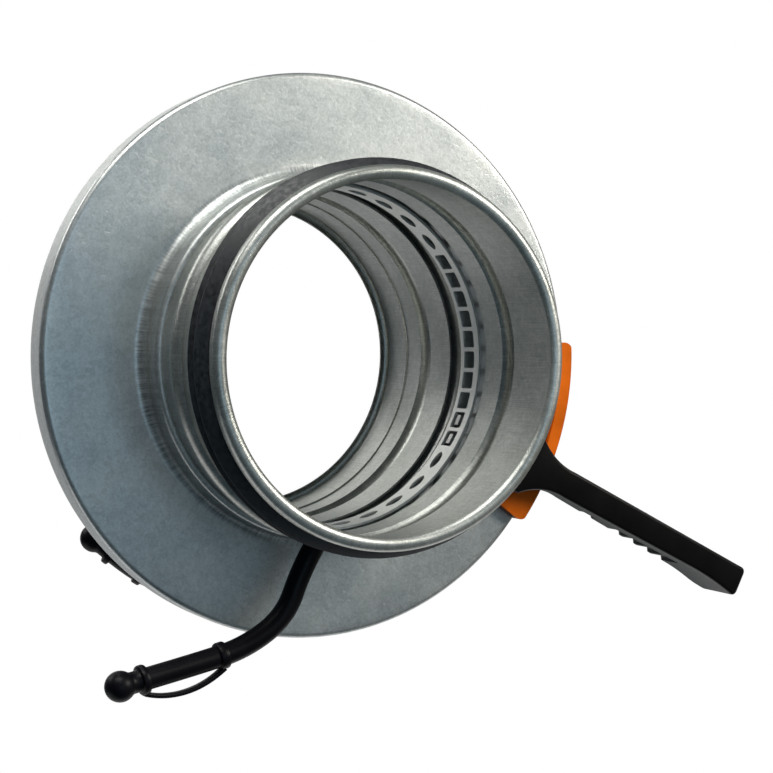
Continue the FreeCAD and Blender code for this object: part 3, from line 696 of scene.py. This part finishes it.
def gasket_outline():
    """Section of the sealing ring: a band with soft lips that lean back from the mouth."""
    start = from_mouth(lip_depth + land_length) + seat_step + gasket_margin
    end = from_mouth(seat_end) - gasket_margin
    base = seat_radius + gasket_base
    crest = base + gasket_lip_reach
    bend_place, bend_height = gasket_lip_bend
    tip_front, tip_rear = gasket_lip_tip
    points = [(start, seat_radius), (start, base - gasket_chamfer), (start + gasket_chamfer, base)]
    for index in range(gasket_lips):
        root = start + gasket_lip_inset + index * gasket_lip_pitch
        tip = root + gasket_lip_lean
        points += [
            (root, base),
            (root + bend_place * gasket_lip_lean, base + bend_height * gasket_lip_reach),
            (tip + tip_front, crest),
            (tip + tip_rear, crest),
            (tip + gasket_lip_thickness, crest - gasket_lip_thickness),
            (root + 0.75 * gasket_lip_lean, base + gasket_lip_root),
            (root + 3 * gasket_lip_thickness, base),
        ]
    points += [(end - gasket_chamfer, base), (end, base - gasket_chamfer), (end, seat_radius)]
    return points


for end, length in (("front", front_spigot_length), ("rear", rear_spigot_length)):
    tube = turned(end + "_spigot_tube", spigot_outline(length), spigot_segments, mirror=end == "rear")
    stand_for(tube, "casing", shaded_spigot_zinc, "galvanised", end + "_spigot")
for end in ("front", "rear"):
    seal = turned(end + "_seal", gasket_outline(), spigot_segments, mirror=end == "rear")
    stand_for(seal, "casing", gasket_rubber, "gasket_rubber", end + "_gasket")


# Casing

def neck_outside(face):
    """Outer side of a drawn neck, from its turned-in tip to the disc's face."""
    tip = from_mouth(neck_tip_place)
    cut = neck_fillet * corner_share
    return [
        ((tip, neck_radius - neck_turn + neck_turn_bulge), (tip + neck_turn, neck_radius)),
        (face - neck_fillet, neck_radius),
        ((face - cut, neck_radius + cut), (face, neck_radius + neck_fillet)),
    ]


def neck_inside(face):
    """Inner side of a drawn neck, from the disc's back to the spigot."""
    tip = from_mouth(neck_tip_place)
    cut = (neck_fillet + disc_sheet) * corner_share
    bore = neck_radius - disc_sheet
    back = face + disc_sheet
    return [
        (back, neck_radius + neck_fillet),
        ((back - cut, bore + cut), (face - neck_fillet, bore)),
        (tip + neck_turn, bore),
        ((tip + disc_sheet, bore - neck_turn + disc_sheet), (tip + disc_sheet, spigot_radius)),
        (tip, spigot_radius),
    ]


def disc_section(steps):
    """Closed section of a disc whose steps run round from its neck's turned-in tip."""
    start = (from_mouth(neck_tip_place), spigot_radius)
    return divided(outline(start, steps, disc_arc_points), disc_longest_side)


def pan_outline():
    """Section of the front pan: neck, flat face, rim and the hem that holds the rear disc."""
    face, back = casing_front, casing_front + disc_sheet
    bore = casing_radius - disc_sheet
    cut = rim_round * corner_share
    inner_cut = (rim_round - disc_sheet) * corner_share
    hem_rear = casing_rear + hem_sheet
    hem_cut = hem_corner_share * hem_sheet
    steps = neck_outside(face)
    steps += [
        (face, casing_radius - rim_round),
        ((face + cut, casing_radius - cut), (face + rim_round, casing_radius)),
        (casing_rear, casing_radius),
        ((hem_rear - hem_cut, casing_radius - hem_cut), (hem_rear, casing_radius - hem_sheet)),
        (hem_rear, casing_radius - hem_width),
        (casing_rear, casing_radius - hem_width),
        (casing_rear, bore),
        (face + rim_round, bore),
        ((back + inner_cut, bore - inner_cut), (back, casing_radius - rim_round)),
    ]
    return disc_section(steps + neck_inside(face))


def disc_outline():
    """Section of the rear disc and its neck, as it lies before it is mirrored to the rear."""
    edge = casing_radius - disc_sheet - disc_gap
    face = -casing_rear
    return disc_section(neck_outside(face) + [(face, edge), (face + disc_sheet, edge)] + neck_inside(face))


def crinkled(face):
    """Shift for turned(): shallow, uneven radial crinkles, left by drawing the neck's fillet."""
    def shift(y, radius, angle):
        share = (radius - neck_radius - crinkle_start) / crinkle_width
        if abs(y - face) > neck_fillet or not 0 < share < 1:
            return y, radius
        turn = radians(angle)
        wave = sin(crinkle_count * turn + 1.7 * sin(7 * turn)) * (0.6 + 0.4 * sin(13 * turn + 1.0))
        return y + crinkle_height * wave * sin(pi * share), radius
    return shift


rear_pan = turned("rear_pan", disc_outline(), disc_segments, crinkled(-casing_rear), mirror=True)
stand_for(rear_pan, "casing", disc_zinc, "pressed_steel", "rear_casing")
front_pan = turned("front_pan", pan_outline(), disc_segments, crinkled(casing_front))
stand_for(front_pan, "casing", disc_zinc, "pressed_steel", "front_casing")


# Lever handle

def level(line, place):
    """Height of a sampled line at a place along it."""
    for (start, low), (end, high) in zip(line, line[1:]):
        if start <= place <= end:
            return low + (high - low) * (place - start) / max(end - start, 1e-9)
    return line[-1][1]


def handle_lines():
    """Front, rear, upper and lower edge of the handle as sampled lines along the lever."""
    start, end = handle_start, handle_end
    tip_half, butt_half = handle_tip_half, handle_butt_half
    root_round, tip_round, butt_round = handle_root_round, handle_tip_round, handle_butt_round
    root_cut = handle_corner_share * root_round
    tip_cut = handle_corner_share * tip_round
    tip_start, tip_middle = end - tip_round, end - tip_cut

    front = [(start, handle_front_root + root_round)]
    front += through(front[-1], (start + root_cut, handle_front_root + root_cut),
                     (start + root_round, handle_front_root), 6)
    front.append((tip_start, handle_front_tip))
    front += through(front[-1], (tip_middle, handle_front_tip + tip_cut),
                     (end, handle_front_tip + tip_round), 12)

    rear = [(start, handle_root_rear), (handle_step, handle_root_rear), (end - butt_round, handle_rear_tip)]
    rear += through(rear[-1], (end - 0.25 * butt_round, handle_rear_tip - 0.2 * butt_round),
                    (end, handle_rear_tip - 0.75 * butt_round), 24)

    upper = [(start, handle_root_half), (handle_step + flare_start, handle_root_half)]
    upper += through(upper[-1], (handle_step + flare_middle[0], flare_middle[1]),
                     (handle_step + flare_end, handle_neck_half), 32)
    lower = list(upper)
    upper.append((tip_start, tip_half))
    upper += through(upper[-1], (tip_middle, tip_half - tip_cut), (end, tip_half - tip_round), 12)

    swell = 0.7 * tip_half + 0.3 * butt_half
    lower.append((end - handle_butt_length, tip_half))
    lower += through(lower[-1], (end - handle_butt_length / 2, swell), (tip_start, butt_half), 24)
    lower += through(lower[-1], (tip_middle, butt_half - tip_cut), (end, butt_half - tip_round), 12)
    return front, rear, upper, lower


def groove(place):
    """Depth of the finger grooves at a place along the lever."""
    depth = 0.0
    for middle in groove_places:
        off = abs(place - middle)
        if off < groove_radius:
            depth = max(depth, groove_depth - groove_radius + sqrt(groove_radius ** 2 - off * off))
    return depth


def grip_section(up, low, front, rear, cut):
    """Section of the grip: soft corners and, behind the land, the groove in its underside."""
    soft = min(grip_round, grip_round_share * (up + low))
    land = min(front + groove_land, rear - soft - groove_rear_margin)
    inner = -low + cut
    points = swept(up - soft, rear - soft, soft, 90, 0, 6)
    points += swept(up - soft, front + soft, soft, 360, 270, 6)
    points += swept(soft - low, front + soft, soft, 270, 180, 6)
    points += [
        (-low, land - groove_land_lead),
        (-low, land - groove_land_edge),
        (-low + 0.1 * cut, land),
        (inner, land + groove_slope * cut + groove_least_step),
    ]
    return points + swept(inner + soft, rear - soft, soft, 180, 90, 6)


def lever_handle():
    """Moulded handle with soft edges, a flared root, a sunk screw hole and finger grooves underneath."""
    out = polar(1, lever_angle)
    side = polar(1, lever_angle + 90)
    lines = handle_lines()
    slice_length = (handle_end - handle_start) / handle_slices
    places = {round(place, 3) for line in lines for place, height in line}
    places |= {round(handle_start + slice_length * k, 3) for k in range(handle_slices)}
    sections = []
    for place in sorted(places):
        front, rear, up, low = (level(line, place) for line in lines)
        section = grip_section(up, low, front, rear, groove(place))
        sections.append([out * place + side * w + Vector((0, y, 0)) for w, y in section])
    grip = lofted("lever_handle", sections, handle_sharp)
    sink_start = 2 * handle_front_root
    sink = [(0.0, screw_sink_radius), (screw_seat - sink_start, screw_sink_radius)]
    return drilled(grip, along("screw_sink", sink, out * screw_place + Vector((0, sink_start, 0)), (0, 1, 0)))


stand_for(lever_handle(), "lever_ring", lever_plastic, "black_plastic", "handle")


# Hoses

def hose(name, route, node):
    """A rubber hose on a NURBS spline through its route."""
    curve = bpy.data.curves.new(name, "CURVE")
    curve.dimensions = "3D"
    spline = curve.splines.new("NURBS")
    spline.points.add(len(route) - 1)
    for point, place in zip(spline.points, route):
        point.co = (*(Vector(place) * MM), 1.0)
    spline.order_u = 3
    spline.use_endpoint_u = True
    spline.resolution_u = 16
    curve.bevel_depth = hose_radius * MM
    curve.bevel_resolution = 8
    piece = link(name, curve)
    stand_for(piece, "casing", hose_rubber, "hose_rubber", node)


def square_to(vector, direction):
    """The part of a vector that is square to a direction, as a unit vector."""
    return (vector - direction * vector.dot(direction)).normalized()


def strap(name, a, b, c):
    """Flat moulded strap along the arc through three points, slightly wider at its ends."""
    normal = (b - a).cross(c - a).normalized()
    across = (c - a).normalized()
    up = normal.cross(across)
    flat = [((point - a).dot(across), (point - a).dot(up)) for point in (a, b, c)]
    line = flat[:1] + through(*flat, 40)
    sections = []
    for k, (x, y) in enumerate(line):
        before, after = line[max(0, k - 1)], line[min(len(line) - 1, k + 1)]
        run = Vector((after[0] - before[0], after[1] - before[1])).normalized()
        ray = across * -run.y + up * run.x
        from_middle = abs(2 * k / (len(line) - 1) - 1)
        half = strap_width / 2 * (1 + strap_flare * from_middle ** 6)
        centre = a + across * x + up * y
        sections.append([centre + ray * v + normal * w
                         for w, v in rounded(half, strap_thickness / 2, strap_corner, 3)])
    return lofted(name, sections, cap_sharp)


def soft_band(start, end, radius):
    """Profile of a band with rounded edges."""
    middle = radius - band_round_cut
    return [(start, radius - band_round), (start + band_round_cut, middle), (start + band_round, radius),
            (end - band_round, radius), (end - band_round_cut, middle), (end, radius - band_round)]


def ball_cap(name, base, direction):
    """Plug cap without its strap: collar, neck and ball on the hose's end."""
    collar_end = cap_collar_length
    neck, neck_end = cap_neck_radius, cap_collar_length + cap_neck_length
    ball = cap_ball_radius
    ball_reach = sqrt(ball * ball - neck * neck)
    first = -ball_reach + cap_ball_root
    profile = [(0.0, hose_radius - cap_overlap)] + soft_band(0.0, collar_end, cap_collar_radius)
    profile += [(collar_end + band_round_cut, neck + band_round_cut), (collar_end + band_round, neck)]
    profile += [(neck_end - before, neck + above) for before, above in cap_neck_fillet]
    for k in range(ball_points + 1):
        place = first + (cap_ball_pole * ball - first) * sin(pi / 2 * k / ball_points)
        profile.append((neck_end + ball_reach + place, sqrt(ball * ball - place * place)))
    return along(name, profile, base, direction)


def plug_cap(name, route, ring_run, side, drop, node):
    """Ball-ended plug cap, the ring on the hose and the strap between them, which bows out to one side."""
    points = [Vector(point) for point in route]
    side = Vector(side)
    end = points[-1]
    direction = (end - points[-2]).normalized()
    ring_direction = (points[ring_run + 1] - points[ring_run]).normalized()
    ring_place = (points[ring_run + 1] + points[ring_run]) * 0.5
    start = end + direction * (cap_collar_length / 2) + square_to(side, direction) * strap_seat
    finish = ring_place + square_to(side, ring_direction) * (strap_ring_radius - strap_sink)
    chord = (finish - start).normalized()
    middle = (start + finish) * 0.5 + square_to(side, chord) * drop
    half, inner = strap_ring_length / 2, hose_radius - strap_ring_overlap
    ring = [(-half, inner)] + soft_band(-half, half, strap_ring_radius) + [(half, inner)]
    piece = joined(name, [
        ball_cap(name + "_body", end, direction),
        along(name + "_ring", ring, ring_place, ring_direction),
        strap(name + "_strap", start, middle, finish),
    ])
    return stand_for(piece, "casing", hose_rubber, "hose_rubber", node)


front_plug = plug_cap("front_plug_cap", front_route, 3, (0, 0, -1), front_strap_drop, "front_cap")
rear_plug = plug_cap("rear_plug_cap", rear_route, 4, (0, 1, 0), rear_strap_drop, "rear_cap")
hose("front_pressure_hose", front_route, "front_hose")
hose("rear_pressure_hose", rear_route, "rear_hose")


# Studio

def camera():
    """The photograph's camera."""
    data = bpy.data.cameras.new("camera")
    data.sensor_width = camera_sensor
    data.lens = camera_lens
    data.clip_start = 0.01
    forward = Vector(camera_forward).normalized()
    right = Vector(camera_right).normalized()
    up = right.cross(forward)
    place = Matrix((right, up, -forward)).transposed().to_4x4()
    place.translation = Vector(camera_place) * MM
    made = link("camera", data)
    made.matrix_world = place
    bpy.context.scene.camera = made


def softbox(name, place, size, power, colour):
    """A rectangular lamp that faces the part."""
    data = bpy.data.lights.new(name, "AREA")
    data.shape = "RECTANGLE"
    data.size, data.size_y = size
    data.energy = power
    data.color = colour
    lamp = link(name, data)
    lamp.location = place
    lamp.rotation_euler = (-Vector(place)).to_track_quat("-Z", "Y").to_euler()


def seen_by(nodes, links, *kinds):
    """1 for the rays of these kinds and 0 for the others."""
    path = nodes.new("ShaderNodeLightPath")
    total = path.outputs[kinds[0]]
    for kind in kinds[1:]:
        total = math_node(nodes, links, "MAXIMUM", total, path.outputs[kind])
    return total


def choice(nodes, links, share, first, second, target):
    """Mix two shaders by a share of the second and send them to the tree's output."""
    mix = nodes.new("ShaderNodeMixShader")
    links.new(share, mix.inputs[0])
    links.new(first.outputs[0], mix.inputs[1])
    links.new(second.outputs[0], mix.inputs[2])
    links.new(mix.outputs[0], nodes[target].inputs["Surface"])


def floor():
    """White floor of the backdrop, behind and well below the part, which hangs in its duct line."""
    corners = [(-floor_reach, 0), (floor_reach, 0), (floor_reach, floor_reach), (-floor_reach, floor_reach)]
    piece = mesh_piece("floor", [(x, y, -floor_depth) for x, y in corners], [(0, 1, 2, 3)], sheet_sharp)
    made, nodes, links, shader = material("floor_white")
    shader.inputs["Base Color"].default_value = (*floor_colour, 1.0)
    shader.inputs["Roughness"].default_value = 0.9
    glow = nodes.new("ShaderNodeEmission")
    glow.inputs["Strength"].default_value = 1.0
    seen = seen_by(nodes, links, "Is Camera Ray", "Is Glossy Ray", "Is Transmission Ray")
    choice(nodes, links, seen, shader, glow, "Material Output")
    dress(piece, made)


def surroundings():
    """White backdrop for the camera, which the metal mirrors only behind the part; elsewhere a dim room."""
    world = bpy.data.worlds.new("world")
    bpy.context.scene.world = world
    world.use_nodes = True
    nodes, links = world.node_tree.nodes, world.node_tree.links
    room = nodes["Background"]
    x, y = parted(nodes, links, nodes.new("ShaderNodeTexCoord").outputs["Generated"])[:2]
    side = math_node(nodes, links, "MULTIPLY_ADD", x, 0.5, 0.5)
    links.new(ramp(nodes, links, side, room_tones), room.inputs["Color"])
    room.inputs["Strength"].default_value = room_strength
    behind = grey_ramp(nodes, links, y, 0.0, 1.0, *backdrop_edge)
    mirrored = math_node(nodes, links, "MULTIPLY", behind, seen_by(nodes, links, "Is Glossy Ray"))
    direct = seen_by(nodes, links, "Is Camera Ray", "Is Transmission Ray")
    white = nodes.new("ShaderNodeBackground")
    white.inputs["Color"].default_value = (1.0, 1.0, 1.0, 1.0)
    white.inputs["Strength"].default_value = 1.0
    choice(nodes, links, math_node(nodes, links, "MAXIMUM", mirrored, direct), room, white, "World Output")


camera()
floor()
surroundings()
for lamp in softboxes:
    softbox(*lamp)
bpy.context.scene.view_settings.view_transform = "Standard"
